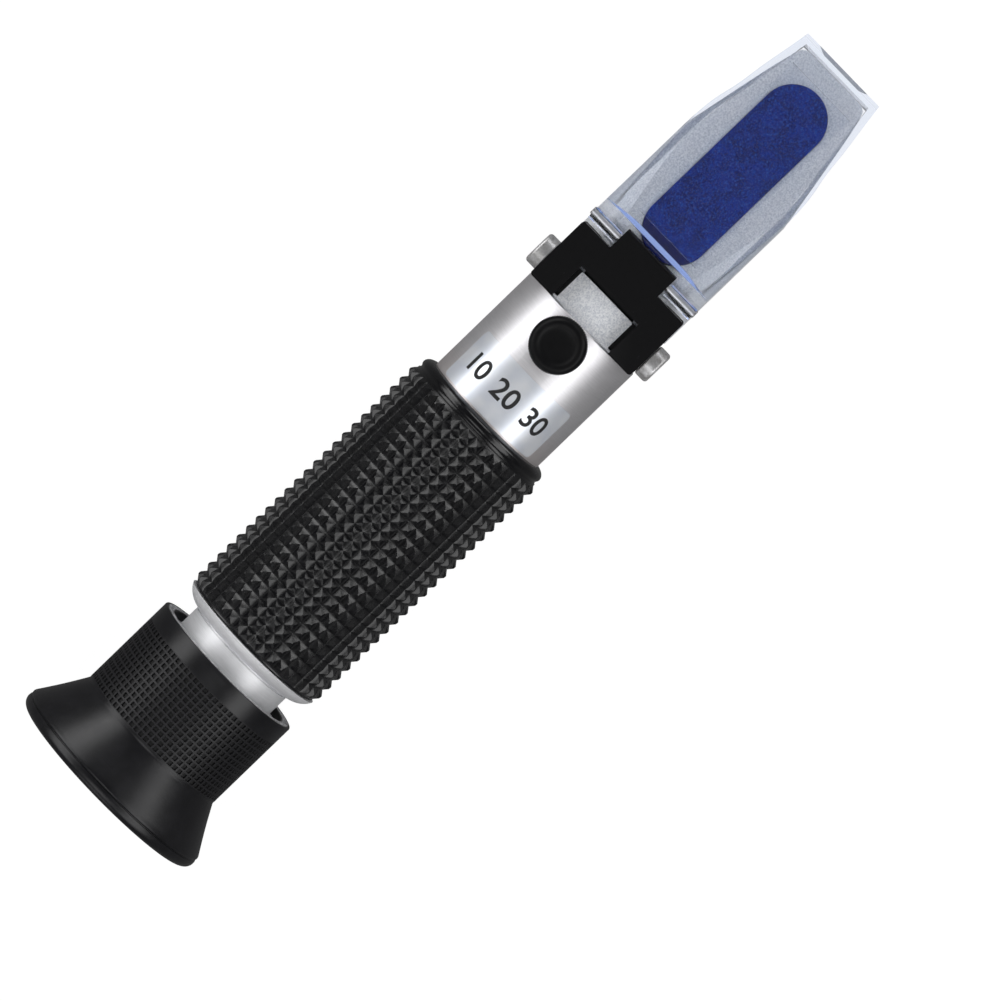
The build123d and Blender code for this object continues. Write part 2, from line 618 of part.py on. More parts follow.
with BuildPart() as side_screws:
    with BuildSketch(Plane.XZ.offset(BLOCK_HALF_W + 0.02)):
        with Locations((SIDE_SCREW_X, SIDE_SCREW_Z)):
            Circle(SIDE_SCREW_HEAD_R)
    extrude(amount=SIDE_SCREW_HEAD_H)
    with BuildSketch(Plane.XZ.offset(-BLOCK_HALF_W - 0.02)):
        with Locations((SIDE_SCREW_X, SIDE_SCREW_Z)):
            Circle(SIDE_SCREW_HEAD_R)
    extrude(amount=-SIDE_SCREW_HEAD_H)
    fillet(side_screws.edges().filter_by(
        lambda e: abs(abs(e.center().Y) - BLOCK_HALF_W - 0.02 - SIDE_SCREW_HEAD_H) < 0.01),
        radius=0.60)
    fillet(side_screws.edges().filter_by(
        lambda e: abs(abs(e.center().Y) - BLOCK_HALF_W - 0.02) < 0.01), radius=0.35)
    with BuildSketch(Plane.XZ.offset(6.4)):
        with Locations((SIDE_SCREW_X, SIDE_SCREW_Z)):
            Circle(1.46)
    extrude(amount=6.0)
    with BuildSketch(Plane.XZ.offset(-6.4)):
        with Locations((SIDE_SCREW_X, SIDE_SCREW_Z)):
            Circle(1.46)
    extrude(amount=-6.0)
    with Locations((SIDE_SCREW_X, BLOCK_HALF_W + SIDE_SCREW_HEAD_H, 0),
                   (SIDE_SCREW_X, -BLOCK_HALF_W - SIDE_SCREW_HEAD_H, 0)):
        Box(8.0, 2.0, 0.80, mode=Mode.SUBTRACT)
side_screws.part.label = "side_screws"
export_step(side_screws.part, "parts/side_screws.step")

# ---------------------------------------------------------------- daylight plate
with BuildPart() as daylight_plate:
    # slab
    with BuildSketch(seat_plane.offset(PLATE_H0)):
        add(plan_face(0.0, 1.35, PLATE_U1))
    extrude(amount=PLATE_H1 - PLATE_H0)
    # skirts and front wall
    with BuildSketch(seat_plane.offset(PLATE_SKIRT_H)):
        add(plan_face(0.0, 1.35, PLATE_U1))
        add(plan_face(PLATE_WALL, -2.0, PLATE_U1 - PLATE_WALL), mode=Mode.SUBTRACT)
    extrude(amount=PLATE_H0 - PLATE_SKIRT_H + 0.3)
    # pad that presses the sample flat
    with BuildSketch(seat_plane.offset(PLATE_PAD_H)):
        with Locations(((PLATE_PAD_U0 + PLATE_PAD_U1) / 2, 0)):
            Rectangle(PLATE_PAD_U1 - PLATE_PAD_U0, 2 * PLATE_PAD_HALF_W)
    extrude(amount=PLATE_H0 - PLATE_PAD_H + 0.2)
    # room for the tongue of the hinge block
    with BuildSketch(Plane.XY.offset(4)):
        with Locations((PIN_X, 0)):
            Rectangle(2 * 2.95, 2 * PLATE_EAR_Y0)
    extrude(amount=14, mode=Mode.SUBTRACT)
    # hinge ears: barrels with webs that run into the slab
    for y0 in (PLATE_EAR_Y0, -PLATE_EAR_Y1):
        with BuildSketch(Plane.XZ.offset(-y0)):
            with Locations((PIN_X, PIN_Z)):
                Circle(PLATE_EAR_R)
        extrude(amount=-(PLATE_EAR_Y1 - PLATE_EAR_Y0))
        with BuildSketch(Plane.XZ.offset(-y0)):
            with BuildLine():
                Polyline((PIN_X + PLATE_EAR_R * sa, PIN_Z + PLATE_EAR_R * ca),
                         on_seat(1.8, PLATE_H1), on_seat(1.8, PLATE_H0 - 0.1),
                         (PIN_X + 0.3, PIN_Z - PLATE_EAR_R + 0.05), close=True)
            make_face()
        extrude(amount=-(PLATE_EAR_Y1 - PLATE_EAR_Y0))
    with BuildSketch(Plane.XZ.offset(-20)):
        with Locations((PIN_X, PIN_Z)):
            Circle(PIN_R + 0.05)
    extrude(amount=40, mode=Mode.SUBTRACT)
daylight_plate.part.label = "daylight_plate"
export_step(daylight_plate.part, "parts/daylight_plate.step")
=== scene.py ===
import bpy
import bmesh
import math
import numpy as np
from mathutils import Matrix, Vector


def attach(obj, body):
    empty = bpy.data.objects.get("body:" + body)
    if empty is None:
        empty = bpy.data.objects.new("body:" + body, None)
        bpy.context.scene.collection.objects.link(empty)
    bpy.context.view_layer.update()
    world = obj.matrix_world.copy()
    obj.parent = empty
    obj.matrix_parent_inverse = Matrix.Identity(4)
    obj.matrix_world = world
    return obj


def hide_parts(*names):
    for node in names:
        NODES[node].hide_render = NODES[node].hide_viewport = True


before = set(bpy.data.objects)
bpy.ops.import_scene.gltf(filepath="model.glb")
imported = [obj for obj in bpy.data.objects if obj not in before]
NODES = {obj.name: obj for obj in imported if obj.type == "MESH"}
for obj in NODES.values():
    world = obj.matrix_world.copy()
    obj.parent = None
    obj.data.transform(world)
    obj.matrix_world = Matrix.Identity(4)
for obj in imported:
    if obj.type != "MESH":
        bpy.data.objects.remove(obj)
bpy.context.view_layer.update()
scene = bpy.context.scene
MM = 0.001
rng = np.random.default_rng(7)

# ------------------------------------------------------------------ shader help


class Mat:
    """A Principled material with short calls for its nodes."""

    def __init__(self, name, **sockets):
        self.mat = bpy.data.materials.new(name)
        self.mat.use_nodes = True
        self.nt = self.mat.node_tree
        self.nt.nodes.clear()
        self.out = self.nt.nodes.new("ShaderNodeOutputMaterial")
        self.bsdf = self.nt.nodes.new("ShaderNodeBsdfPrincipled")
        self.nt.links.new(self.bsdf.outputs[0], self.out.inputs[0])
        self.coord = self.nt.nodes.new("ShaderNodeTexCoord").outputs["Object"]
        for k, v in sockets.items():
            self.bsdf.inputs[k.replace("_", " ")].default_value = v

    def link(self, a, b):
        self.nt.links.new(a, b)

    def set(self, socket, value):
        if hasattr(value, "is_output"):
            self.link(value, self.bsdf.inputs[socket])
        else:
            self.bsdf.inputs[socket].default_value = value

    def mapping(self, scale=(1, 1, 1), loc=(0, 0, 0), rot=(0, 0, 0), src=None):
        n = self.nt.nodes.new("ShaderNodeMapping")
        n.inputs["Scale"].default_value = scale
        n.inputs["Location"].default_value = loc
        n.inputs["Rotation"].default_value = rot
        self.link(src or self.coord, n.inputs["Vector"])
        return n.outputs[0]

    def noise(self, scale, detail=2.0, rough=0.5, vec=None, distortion=0.0):
        n = self.nt.nodes.new("ShaderNodeTexNoise")
        n.inputs["Scale"].default_value = scale
        n.inputs["Detail"].default_value = detail
        n.inputs["Roughness"].default_value = rough
        n.inputs["Distortion"].default_value = distortion
        self.link(vec or self.coord, n.inputs["Vector"])
        return n.outputs["Fac"]

    def voronoi(self, scale, vec=None, feature="F1", out="Distance"):
        n = self.nt.nodes.new("ShaderNodeTexVoronoi")
        n.feature = feature
        n.inputs["Scale"].default_value = scale
        self.link(vec or self.coord, n.inputs["Vector"])
        return n.outputs[out]

    def math(self, op, a, b=0.0, c=0.0, clamp=False):
        n = self.nt.nodes.new("ShaderNodeMath")
        n.operation = op
        n.use_clamp = clamp
        for i, v in enumerate((a, b, c)):
            if hasattr(v, "is_output"):
                self.link(v, n.inputs[i])
            else:
                n.inputs[i].default_value = v
        return n.outputs[0]

    def xyz(self, src=None):
        n = self.nt.nodes.new("ShaderNodeSeparateXYZ")
        self.link(src or self.coord, n.inputs[0])
        return n.outputs[0], n.outputs[1], n.outputs[2]

    def ramp(self, fac, stops, mode="LINEAR"):
        n = self.nt.nodes.new("ShaderNodeValToRGB")
        n.color_ramp.interpolation = mode
        e = n.color_ramp.elements
        while len(e) > 1:
            e.remove(e[-1])
        e[0].position, e[0].color = stops[0][0], self.rgba(stops[0][1])
        for p, c in stops[1:]:
            x = e.new(p)
            x.color = self.rgba(c)
        self.link(fac, n.inputs[0])
        return n.outputs[0]

    @staticmethod
    def rgba(c):
        if isinstance(c, (int, float)):
            return (c, c, c, 1.0)
        return tuple(c) + (1.0,) if len(c) == 3 else tuple(c)

    def step(self, value, lo, hi, a=0.0, b=1.0):
        """a below lo, b above hi, smooth between."""
        n = self.nt.nodes.new("ShaderNodeMapRange")
        n.interpolation_type = "SMOOTHSTEP"
        n.inputs["From Min"].default_value = lo
        n.inputs["From Max"].default_value = hi
        n.inputs["To Min"].default_value = a
        n.inputs["To Max"].default_value = b
        self.link(value, n.inputs["Value"])
        return n.outputs[0]

    def mix(self, fac, a, b):
        n = self.nt.nodes.new("ShaderNodeMix")
        n.data_type = "RGBA"
        for key, v in (("Factor", fac), ("A", a), ("B", b)):
            sock = [s for s in n.inputs if s.name == key and s.enabled][0]
            if hasattr(v, "is_output"):
                self.link(v, sock)
            else:
                sock.default_value = v if key == "Factor" else self.rgba(v)
        return [s for s in n.outputs if s.enabled][0]

    def bump(self, height, strength=0.2, distance=0.0001, normal=None):
        n = self.nt.nodes.new("ShaderNodeBump")
        n.inputs["Strength"].default_value = strength
        n.inputs["Distance"].default_value = distance
        self.link(height, n.inputs["Height"])
        if normal is not None:
            self.link(normal, n.inputs["Normal"])
        return n.outputs[0]


def turned_metal(name, base, roughness, line=0.25, aniso=0.0, painted_reflection=None, metallic=1.0):
    """Lathe-turned metal: very fine lines around X, soft cloudiness, a few rubs."""
    m = Mat(name, Metallic=metallic)
    around = m.mapping(scale=(1.0, 0.035, 0.035))
    lines = m.noise(9000, 3.0, 0.65, around)
    broad = m.noise(900, 2.0, 0.5, around)
    cloud = m.noise(160, 3.0, 0.55)
    rub = m.noise(1400, 4.0, 0.6)
    b = [c * 0.90 for c in base]
    col = m.mix(m.step(lines, 0.30, 0.72), b, base)
    col = m.mix(m.step(cloud, 0.35, 0.8, 0.0, 0.35), col, [c * 0.93 for c in base])
    # painted reflection: a pinkish-brown cast blended into the colour towards low X, at 0.55 below x0 and gone by x1
    if painted_reflection:
        x0, x1, colour = painted_reflection
        x, _, _ = m.xyz()
        col = m.mix(m.step(x, x0, x1, 0.55, 0.0), col, colour)
    m.set("Base Color", col)
    r = m.math("MULTIPLY_ADD", rub, 0.10, roughness - 0.05)
    r = m.math("MULTIPLY_ADD", broad, 0.06, r)
    m.set("Roughness", r)
    n = m.bump(lines, line, 0.00001)
    m.set("Normal", m.bump(broad, line * 0.6, 0.00002, n))
    if aniso:
        m.set("Anisotropic", aniso)
    return m.mat


def plain_metal(name, base, roughness, grain=6000, strength=0.15, mottle=0.15):
    m = Mat(name, Metallic=1.0)
    g = m.noise(grain, 4.0, 0.6)
    c = m.noise(grain * 0.12, 3.0, 0.6)
    m.set("Base Color", m.mix(m.step(c, 0.3, 0.75), [v * (1 - mottle) for v in base], base))
    m.set("Roughness", m.math("MULTIPLY_ADD", g, 0.18, roughness - 0.09))
    m.set("Normal", m.bump(g, strength, 0.00003))
    return m.mat


def rubber(name, base, roughness, grain=9000, strength=0.12, lines=0.0):
    m = Mat(name)
    g = m.noise(grain, 3.0, 0.6)
    c = m.noise(320, 3.0, 0.55)
    m.set("Base Color", m.mix(m.step(c, 0.3, 0.75), [v * 0.8 for v in base], [v * 1.2 for v in base]))
    m.set("Roughness", m.math("MULTIPLY_ADD", c, 0.14, roughness - 0.07))
    n = m.bump(g, strength, 0.00003)
    if lines:
        ring = m.noise(4200, 2.0, 0.6, m.mapping(scale=(1.0, 0.03, 0.03)))
        n = m.bump(ring, lines, 0.00004, n)
    m.set("Normal", n)
    return m


# ------------------------------------------------------------------ materials

m_eyecup = rubber("eyecup_rubber", (0.0052, 0.0052, 0.0068), 0.30, lines=0.35)
x, y, z = m_eyecup.xyz()
radius = m_eyecup.math("SQRT", m_eyecup.math("ADD", m_eyecup.math("MULTIPLY", y, y), m_eyecup.math("MULTIPLY", z, z)))
in_grid = m_eyecup.math("MULTIPLY", m_eyecup.step(x, -0.07430, -0.07425), m_eyecup.step(x, -0.06045, -0.06040, 1.0, 0.0))
in_grid = m_eyecup.math("MULTIPLY", in_grid, m_eyecup.step(radius, 0.0140, 0.0141))
in_pit = m_eyecup.math("MULTIPLY", in_grid, m_eyecup.step(radius, 0.01445, 0.01472, 1.0, 0.0))
skin = m_eyecup.noise(320, 3.0, 0.55)
col = m_eyecup.mix(m_eyecup.step(skin, 0.3, 0.75), (0.0040, 0.0040, 0.0052), (0.0066, 0.0066, 0.0084))
col = m_eyecup.mix(in_grid, col, (0.0064, 0.0062, 0.0080))
# the pits of the grid are painted darker: painted shade in the recesses
col = m_eyecup.mix(in_pit, col, (0.0030, 0.0030, 0.0036))
# painted light: the rubber's front face inside the lip is painted mottled silver, standing in for the lit end of the
# metal sleeve that lies in shade further in
painted_sleeve_light = m_eyecup.math("MULTIPLY", m_eyecup.step(x, -0.05703, -0.05701), m_eyecup.step(radius, 0.01412, 0.01418, 1.0, 0.0))
blot = m_eyecup.noise(1500, 4.0, 0.65)
metal = m_eyecup.mix(m_eyecup.step(blot, 0.42, 0.58), (0.16, 0.16, 0.17), (0.62, 0.62, 0.64))
m_eyecup.set("Base Color", m_eyecup.mix(painted_sleeve_light, col, metal))
r = m_eyecup.math("MULTIPLY_ADD", skin, 0.12, 0.27)
m_eyecup.set("Roughness", m_eyecup.math("MULTIPLY_ADD", in_pit, 0.20, m_eyecup.math("MULTIPLY_ADD", in_grid, 0.16, r)))
m_eyecup.set("Specular IOR Level", 0.40)
mat_eyecup = m_eyecup.mat

m_grip = rubber("grip_rubber", (0.0034, 0.0034, 0.0044), 0.42, grain=7000, strength=0.2)
x, _, _ = m_grip.xyz()
worn = m_grip.noise(600, 4.0, 0.6)
m_grip.set("Roughness", m_grip.math("ADD", m_grip.step(x, 0.0007, 0.0011, 0.27, 0.20),
                                    m_grip.math("MULTIPLY_ADD", worn, 0.16, -0.08)))
mat_grip = m_grip.mat

m_cap = rubber("cap_rubber", (0.0030, 0.0030, 0.0036), 0.42, grain=5000, strength=0.3)
m_cap.set("Specular IOR Level", 0.16)
mat_cap = m_cap.mat
mat_seal = rubber("seal_rubber", (0.010, 0.010, 0.010), 0.5).mat

# the tube carries a painted pinkish-brown reflection, strongest below x 4.5 mm and gone by x 11 mm
mat_tube = turned_metal("satin_aluminium", (0.86, 0.85, 0.875), 0.42, line=0.22,
                        painted_reflection=(0.0045, 0.0110, (0.78, 0.715, 0.70)), metallic=0.92)
mat_bright = turned_metal("bright_aluminium", (0.90, 0.905, 0.925), 0.46, line=0.18, metallic=0.50)

# cast and milled head: bluish grey, speckled
m = Mat("head_metal", Metallic=0.22)
speck = m.noise(3400, 5.0, 0.72)
fine = m.noise(9000, 3.0, 0.6)
cloud = m.noise(260, 3.0, 0.55)
col = m.mix(m.step(speck, 0.36, 0.62), (0.60, 0.63, 0.69), (0.93, 0.945, 0.97))
col = m.mix(m.step(cloud, 0.4, 0.75, 0.0, 0.25), col, (0.80, 0.81, 0.85))
x, y, z = m.xyz()
# the faces of the narrow gap around the window flat are painted near black: painted shade in the gap
groove_painted_shade = m.math("MULTIPLY", m.step(x, 0.02620, 0.02623), m.step(x, 0.03274, 0.03277, 1.0, 0.0))
groove_painted_shade = m.math("MULTIPLY", groove_painted_shade, m.math("MULTIPLY", m.step(z, 0.00925, 0.00930), m.step(z, 0.01028, 0.01034, 1.0, 0.0)))
groove_painted_shade = m.math("MULTIPLY", groove_painted_shade, m.step(m.math("ABSOLUTE", y), 0.00672, 0.00674, 1.0, 0.0))
col = m.mix(groove_painted_shade, col, (0.004, 0.004, 0.005))
m.set("Base Color", col)
m.set("Roughness", m.math("MULTIPLY_ADD", speck, 0.20, 0.36))
m.set("Normal", m.bump(fine, 0.25, 0.00003, m.bump(speck, 0.35, 0.00004)))
mat_head = m.mat

# black enamel with a few bright dust specks
m = Mat("hinge_black")
g = m.noise(5200, 4.0, 0.6)
dust = m.voronoi(1500)
sparse = m.noise(700, 2.0, 0.5)
spot = m.math("MULTIPLY", m.step(dust, 0.055, 0.085, 1.0, 0.0), m.step(sparse, 0.60, 0.66))
m.set("Base Color", m.mix(spot, (0.0028, 0.0028, 0.0034), (0.085, 0.085, 0.092)))
m.set("Roughness", m.math("MULTIPLY_ADD", g, 0.16, 0.32))
m.set("Normal", m.bump(g, 0.30, 0.00004))
m.set("Specular IOR Level", 0.18)
mat_hinge = m.mat

mat_steel = turned_metal("screw_steel", (0.60, 0.60, 0.62), 0.34, line=0.3)
m = Mat("screw_steel_heads", Metallic=0.55)
speck = m.noise(2600, 5.0, 0.7)
patch = m.noise(620, 3.0, 0.6)
col = m.mix(m.step(patch, 0.36, 0.64), (0.47, 0.465, 0.46), (0.70, 0.70, 0.71))
m.set("Base Color", m.mix(m.step(speck, 0.45, 0.7, 0.0, 0.5), col, (0.80, 0.80, 0.81)))
m.set("Roughness", m.math("MULTIPLY_ADD", speck, 0.22, 0.26))
m.set("Normal", m.bump(speck, 0.25, 0.00004))
mat_screw = m.mat

mat_black = plain_metal("black_anodised", (0.028, 0.028, 0.03), 0.48, mottle=0.2)
mat_brass = turned_metal("brass", (0.78, 0.60, 0.28), 0.30, line=0.2)
mat_spring = plain_metal("spring_metal", (0.66, 0.58, 0.48), 0.34)

# mottled silver of the focus barrel
m = Mat("barrel_aluminium", Metallic=0.45)
blot = m.noise(1500, 4.0, 0.65)
col = m.mix(m.step(blot, 0.42, 0.58), (0.42, 0.42, 0.44), (0.86, 0.86, 0.88))
m.set("Base Color", col)
m.set("Roughness", m.math("MULTIPLY_ADD", blot, 0.2, 0.24))
m.set("Normal", m.bump(blot, 0.5, 0.00006))
mat_barrel = m.mat

# pale foil of the label
m = Mat("label_foil", Metallic=0.55, Coat_Weight=0.6, Coat_Roughness=0.06)
fine = m.noise(9000, 2.0, 0.5, m.mapping(scale=(1.0, 0.05, 0.05)))
cloud = m.noise(240, 2.0, 0.5)
m.set("Base Color", m.mix(m.step(cloud, 0.3, 0.7), (0.76, 0.80, 0.88), (0.86, 0.885, 0.93)))
m.set("Roughness", m.math("MULTIPLY_ADD", fine, 0.10, 0.30))
m.set("Normal", m.bump(fine, 0.10, 0.00001))
mat_label = m.mat

m = Mat("label_ink")
g = m.noise(8000, 3.0, 0.6)
m.set("Base Color", m.mix(m.step(g, 0.3, 0.7), (0.005, 0.005, 0.006), (0.011, 0.011, 0.012)))
m.set("Roughness", m.math("MULTIPLY_ADD", g, 0.1, 0.62))
mat_ink = m.mat

# deep blue polished glass of the prism; its speckles and sparkles are painted light, the grainy haze and glints of the
# frosted pad above
m = Mat("prism_glass", IOR=1.40)
speck = m.noise(2700, 3.0, 0.7)
cloud = m.noise(330, 3.0, 0.6)
painted_glints = m.noise(4300, 2.0, 0.6)
col = m.mix(m.step(cloud, 0.32, 0.68), (0.0030, 0.0165, 0.170), (0.0055, 0.034, 0.330))
col = m.mix(m.step(speck, 0.32, 0.50, 0.75, 0.0), col, (0.0012, 0.0070, 0.085))
col = m.mix(m.step(speck, 0.52, 0.66, 0.0, 0.85), col, (0.010, 0.085, 0.52))
col = m.mix(m.step(painted_glints, 0.58, 0.70, 0.0, 0.7), col, (0.040, 0.16, 0.66))
# below x 45.6 mm the prism is painted a darker blue, where the clear strip shows it without the pad's painted haze
x, _, _ = m.xyz()
col = m.mix(m.step(x, 0.04555, 0.04575, 1.0, 0.0), col, (0.0022, 0.0075, 0.125))
m.set("Base Color", col)
m.set("Roughness", m.math("MULTIPLY_ADD", speck, 0.12, 0.14))
m.set("Normal", m.bump(speck, 0.12, 0.00003))
mat_prism = m.mat

# clear moulded plastic of the daylight plate, with a ground lower face on its pad
SA, CA = math.sin(math.radians(12.2)), math.cos(math.radians(12.2))
SEAT = (0.04170, 0.0, 0.00975)
m = Mat("clear_plate", IOR=1.49)
m.bsdf.inputs["Transmission Weight"].default_value = 1.0
x, y, z = m.xyz()
dx = m.math("SUBTRACT", x, SEAT[0])
dz = m.math("SUBTRACT", z, SEAT[2])
h = m.math("ADD", m.math("MULTIPLY", dx, SA), m.math("MULTIPLY", dz, CA))
u = m.math("SUBTRACT", m.math("MULTIPLY", dx, CA), m.math("MULTIPLY", dz, SA))
ground = m.math("MULTIPLY", m.step(h, 0.00052, 0.00056, 1.0, 0.0), m.step(h, 0.00044, 0.00048))
ground = m.math("MULTIPLY", ground, m.step(m.math("ABSOLUTE", y), 0.00674, 0.00676, 1.0, 0.0))
grain = m.noise(5200, 3.0, 0.65)
flow = m.noise(170, 2.0, 0.5)
col = m.mix(m.step(flow, 0.3, 0.7), (0.95, 0.965, 0.99), (0.98, 0.985, 1.0))
frost = m.noise(3300, 4.0, 0.7)
frost = m.math("MULTIPLY", ground, m.step(frost, 0.40, 0.60, 0.55, 0.0))
m.set("Base Color", m.mix(frost, col, (0.70, 0.76, 0.85)))
m.set("Roughness", m.math("MULTIPLY_ADD", ground, 0.06, 0.025))
m.set("Normal", m.bump(m.math("MULTIPLY", grain, ground), 0.35, 0.00004))
absorb = m.nt.nodes.new("ShaderNodeVolumeAbsorption")
absorb.inputs["Color"].default_value = (0.50, 0.62, 0.86, 1.0)
absorb.inputs["Density"].default_value = 60.0
m.link(absorb.outputs[0], m.out.inputs["Volume"])
mat_plate = m.mat

m = Mat("lens_glass", IOR=1.52, Roughness=0.02)
m.bsdf.inputs["Transmission Weight"].default_value = 1.0
m.set("Base Color", m.mix(m.step(m.noise(90, 2.0), 0.3, 0.7), (0.93, 0.96, 0.97), (0.97, 0.985, 0.98)))
mat_lens = m.mat
m = Mat("reticle_glass", IOR=1.52, Roughness=0.03)
m.bsdf.inputs["Transmission Weight"].default_value = 1.0
m.set("Base Color", m.mix(m.step(m.noise(120, 2.0), 0.3, 0.7), (0.88, 0.95, 1.0), (0.93, 0.97, 1.0)))
mat_reticle = m.mat

# ------------------------------------------------------------------ mesh help


def piece(name, verts, faces, mat, body, replaces=(), sharp=30.0):
    me = bpy.data.meshes.new(name)
    me.from_pydata((np.asarray(verts, float) * MM).tolist(), [], [tuple(int(i) for i in f) for f in faces])
    me.validate()
    me.update()
    me.materials.append(mat)
    me.polygons.foreach_set("use_smooth", [True] * len(me.polygons))
    if sharp:
        me.set_sharp_from_angle(angle=math.radians(sharp))
    ob = bpy.data.objects.new(name, me)
    scene.collection.objects.link(ob)
    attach(ob, body)
    if replaces:
        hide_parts(*replaces)
    return ob


def ring_faces(rows, cols, split=None, close_rows=True):
    """Quads between successive rows of a rows x cols grid that closes around; split(i, j) gives 0 none, 1 or 2 for a diagonal."""
    out = []
    last = rows if close_rows else rows - 1
    for i in range(last):
        a, b = i * cols, ((i + 1) % rows) * cols
        for j in range(cols):
            k = (j + 1) % cols
            p, q, r, s = a + j, a + k, b + k, b + j
            d = split(i, j) if split else 0
            if d == 1:
                out += [(p, q, r), (p, r, s)]
            elif d == 2:
                out += [(p, q, s), (q, r, s)]
            else:
                out.append((p, q, r, s))
    return out


def arc(cx, cr, rad, a0, a1, n):
    return [(cx + rad * math.cos(math.radians(a0 + (a1 - a0) * i / n)),
             cr + rad * math.sin(math.radians(a0 + (a1 - a0) * i / n))) for i in range(n + 1)]


# ------------------------------------------------------------------ rubber grip
# 44 teeth around, 23 rows along, each a square pyramid with a blunted point
TEETH, ROWS = 44, 23
LINES = [0.0, 0.0125, 0.25, 0.43, 0.57, 0.75, 0.9875]
NL = len(LINES)
ROOT_R, TOP_R = 13.80, 14.60
ROW0, PITCH = -50.72, 2.2345
PHASE = math.radians(-1.2)


def knurl_height(fx, fy):
    k = 2 * np.maximum(np.abs(fx - 0.5), np.abs(fy - 0.5))
    full = TOP_R - ROOT_R
    return np.interp(k, [0.0, 0.14, 0.975, 1.0], [full, full - 0.035, 0.010, 0.0])


ang_f = np.array([(t, f) for t in range(TEETH) for f in LINES])
theta = (ang_f[:, 0] + ang_f[:, 1]) * 2 * math.pi / TEETH
row_f = np.array([(t, f) for t in range(ROWS) for f in LINES] + [(ROWS, 0.0)])
row_x = ROW0 + PITCH * (row_f[:, 0] + row_f[:, 1])
R = ROOT_R + knurl_height(row_f[:, 1][:, None], ang_f[:, 1][None, :])
R[-1, :] = ROOT_R
lead = [(-51.10, 12.03), (-51.10, 13.55), (-51.06, 13.72), (-50.94, 13.83)]
tail = [(0.86, 13.84), (0.98, 13.70), (1.10, 13.60), (1.26, 13.56), (1.44, 13.60), (1.62, 13.72),
        (1.82, 13.82), (2.08, 13.86), (2.36, 13.80), (2.62, 13.66), (2.86, 13.44), (3.06, 13.16),
        (3.20, 12.86), (3.30, 12.52), (3.35, 12.20), (3.35, 12.03)]
X = np.concatenate([[p[0] for p in lead], row_x, [p[0] for p in tail]])
RR = np.vstack([np.full((1, len(theta)), p[1]) for p in lead] + [R]
               + [np.full((1, len(theta)), p[1]) for p in tail])
# tooth valleys start PHASE from +Z, turning towards -Y
th = theta + PHASE
verts = np.stack([np.repeat(X[:, None], len(theta), 1), -RR * np.sin(th)[None, :], RR * np.cos(th)[None, :]], -1)
n_lead = len(lead)


def grip_split(i, j):
    a = i - n_lead
    if a < 0 or a >= ROWS * NL:
        return 0
    a, b = a % NL, j % NL
    return 1 if a == b else 2 if a + b == NL - 1 else 0


piece("knurled_grip", verts.reshape(-1, 3), ring_faces(len(X), len(theta), grip_split),
      mat_grip, "root", ("rubber_grip",), sharp=24)

# ------------------------------------------------------------------ eyecup
CELLS = 80
CL = [0.06, 0.14, 0.20, 0.36, 0.50, 0.64, 0.80, 0.86, 0.94]
GRID_X0, GRID_X1, GRID_ROWS = -74.30, -60.40, 12
cell = (GRID_X1 - GRID_X0) / GRID_ROWS
theta = np.array([(t + f) * 2 * math.pi / CELLS for t in range(CELLS) for f in CL])
cf = np.array([f for t in range(CELLS) for f in CL])
rx = np.array([GRID_X0 + cell * (t + f) for t in range(GRID_ROWS) for f in CL])
rf = np.array([f for t in range(GRID_ROWS) for f in CL])
pit = np.logical_and(np.logical_and(rf > 0.17, rf < 0.83)[:, None], np.logical_and(cf > 0.17, cf < 0.83)[None, :])
GR = np.where(pit, 14.75 - 0.30, 14.75)
back = ([(-83.30, 16.45)] + arc(-84.5, 18.25, 1.45, 270, 90, 22)[1:-1]
        + [(-84.5, 19.70), (-84.18, 19.68), (-83.96, 19.60), (-83.86, 19.46), (-83.78, 19.44), (-83.70, 19.52),
           (-83.54, 19.60), (-83.36, 19.60), (-83.18, 19.545)])
n_cone = 14
for i in range(1, n_cone + 1):
    t = i / n_cone
    back.append((-83.18 + t * 7.96, 19.545 - 4.745 * t - 0.10 * math.sin(math.pi * t)))
back += [(-75.06, 14.745), (-74.92, 14.72), (-74.78, 14.735), (-74.62, 14.76), (-74.44, 14.76)]
front = [(-60.30, 14.75), (-59.60, 14.75), (-58.85, 14.75), (-57.80, 14.75)] + arc(-57.26, 14.49, 0.26, 90, 0, 6) + [
    (-57.0, 14.20), (-57.0, 13.60), (-57.0, 13.10), (-57.02, 12.92), (-57.08, 12.78), (-57.20, 12.68), (-57.5, 12.65), (-64.0, 12.65), (-70.9, 12.65),
    (-71.0, 12.6), (-71.0, 10.7), (-71.1, 10.5), (-74.0, 10.5), (-76.9, 10.5), (-77.0, 10.6), (-77.0, 12.2), (-77.1, 12.4),
    (-77.9, 13.1), (-80.6, 14.775)]
X = np.concatenate([[p[0] for p in back], rx, [p[0] for p in front]])
RR = np.vstack([np.full((1, len(theta)), p[1]) for p in back] + [GR]
               + [np.full((1, len(theta)), p[1]) for p in front])
verts = np.stack([np.repeat(X[:, None], len(theta), 1), -RR * np.sin(theta)[None, :], RR * np.cos(theta)[None, :]], -1)
piece("flared_eyecup", verts.reshape(-1, 3), ring_faces(len(X), len(theta)),
      mat_eyecup, "eyepiece", ("eyecup",), sharp=32)

